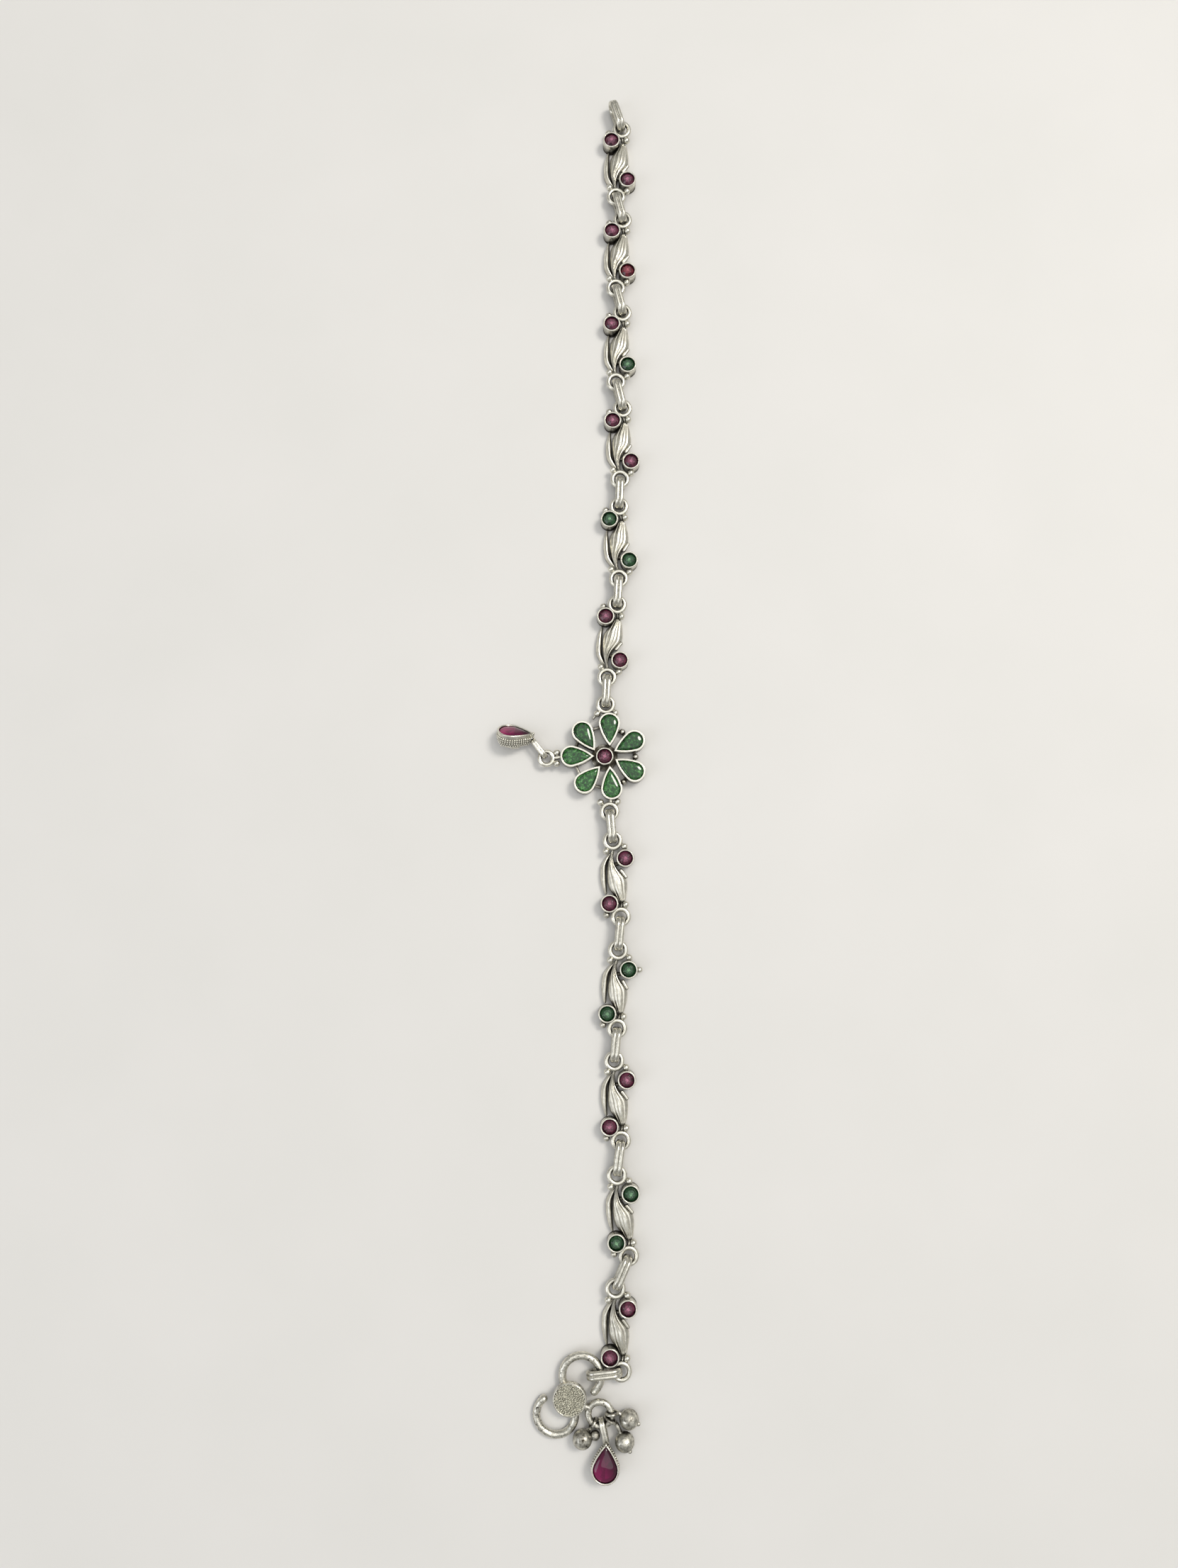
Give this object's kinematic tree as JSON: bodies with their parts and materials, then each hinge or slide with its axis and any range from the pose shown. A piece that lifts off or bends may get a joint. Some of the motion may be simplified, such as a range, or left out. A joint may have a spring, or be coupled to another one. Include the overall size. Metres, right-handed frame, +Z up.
{
  "type": "anklet",
  "caption": "Oxidised silver anklet chain of leaf links with round stones, a flower of pear stones at its middle, and an S-hook clasp with ball and pear drops.",
  "frame": {"origin": "centre of the flower's middle stone, on the surface that the anklet lies on", "axes": "+Y along the chain towards its free end ring, +Z up out of the stones' faces, +X away from the side drop"},
  "size_m": [0.0264, 0.2482, 0.0047],
  "materials": {
    "silver": "cast silver, oxidised dark in the recesses and polished on the edges",
    "plum": "polished round-cut stone, plum",
    "garnet": "polished round-cut stone, garnet red",
    "dark_green": "polished round-cut stone, dark green",
    "petal_green": "polished pear-cut stone, milky emerald green",
    "ruby": "polished pear-cut stone, ruby"
  },
  "bodies": {
    "root": {"flower_setting": "silver", "flower_centre_stone": "plum", "side_drop_setting": "silver", "side_drop_stone": "ruby", "petal_stone_1": "petal_green", "petal_stone_2": "petal_green", "petal_stone_3": "petal_green", "petal_stone_4": "petal_green", "petal_stone_5": "petal_green", "petal_stone_6": "petal_green", "petal_stone_7": "petal_green", "leaf_link_1": "silver", "leaf_link_2": "silver", "leaf_link_3": "silver", "leaf_link_4": "silver", "leaf_link_5": "silver", "leaf_link_6": "silver", "leaf_link_7": "silver", "leaf_link_8": "silver", "leaf_link_9": "silver", "leaf_link_10": "silver", "leaf_link_11": "silver", "link_stones_1": "plum", "upper_stone_2": "plum", "lower_stone_2": "garnet", "upper_stone_3": "plum", "lower_stone_3": "dark_green", "link_stones_4": "plum", "link_stones_5": "dark_green", "link_stones_6": "plum", "link_stones_7": "plum", "link_stones_8": "dark_green", "link_stones_9": "plum", "link_stones_10": "dark_green", "link_stones_11": "plum", "connector_1": "silver", "connector_2": "silver", "connector_3": "silver", "connector_4": "silver", "connector_5": "silver", "connector_6": "silver", "connector_7": "silver", "connector_8": "silver", "connector_9": "silver", "connector_10": "silver", "connector_11": "silver", "connector_12": "silver", "connector_13": "silver", "s_hook": "silver", "end_drop_setting": "silver", "end_drop_stone": "ruby", "ball_drop_1": "silver", "ball_drop_2": "silver", "ball_drop_3": "silver"}
  },
  "joints": []
}
